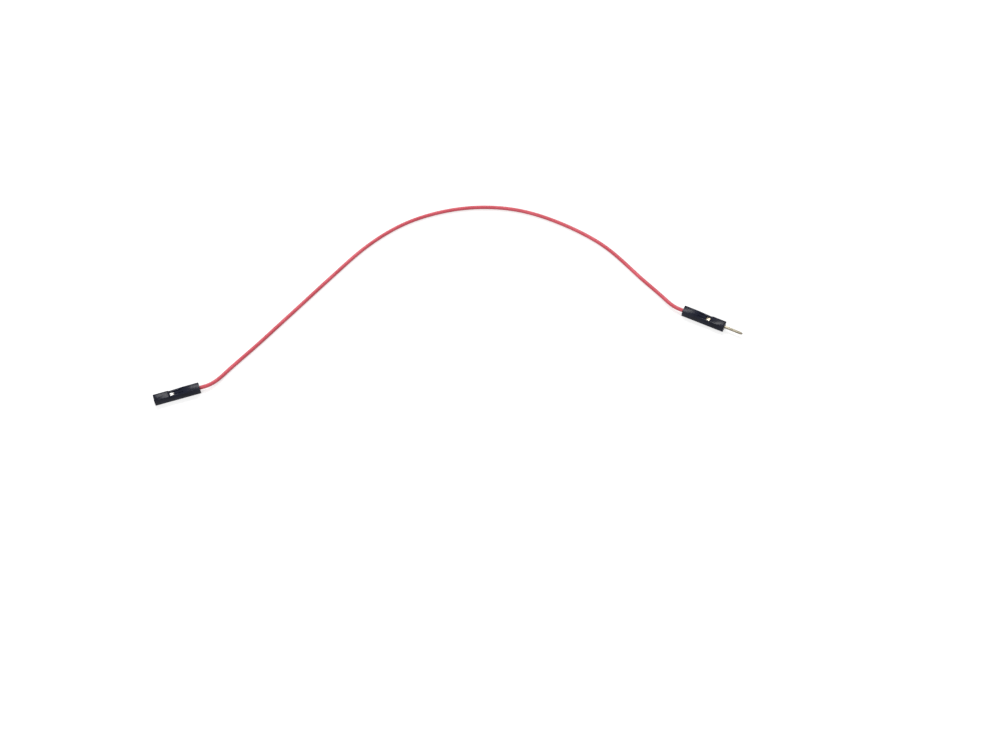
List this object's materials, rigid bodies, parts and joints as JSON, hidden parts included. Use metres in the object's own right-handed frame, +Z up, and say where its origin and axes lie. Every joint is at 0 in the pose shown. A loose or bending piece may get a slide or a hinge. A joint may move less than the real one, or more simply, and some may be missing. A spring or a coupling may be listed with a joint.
{
  "type": "breadboard jumper wire",
  "caption": "Flexible insulated lead for plug-in wiring, with a square pin in a latch housing on one end and a crimped socket on the other, lying in a loose arc.",
  "frame": {"origin": "on the surface the lead lies on, under the middle of the box that holds its two connectors", "axes": "+X from the socket end to the pin end, +Y towards the crown of the wire's arc, +Z up off the surface"},
  "size_m": [0.1805, 0.0789, 0.0025],
  "materials": {
    "housing": "satin black moulded plastic",
    "socket_contact": "tin plated pressing",
    "pin_contact": "thin gilt plating",
    "insulation": "extruded vinyl, soft sheen",
    "strand": "bare drawn copper"
  },
  "bodies": {
    "root": {"socket_housing": "housing", "pin_housing": "housing", "socket_contact": "socket_contact", "pin_contact": "pin_contact", "insulation": "insulation", "strand_1": "strand", "strand_2": "strand", "strand_3": "strand", "strand_4": "strand", "strand_5": "strand", "strand_6": "strand", "strand_7": "strand"}
  },
  "joints": []
}
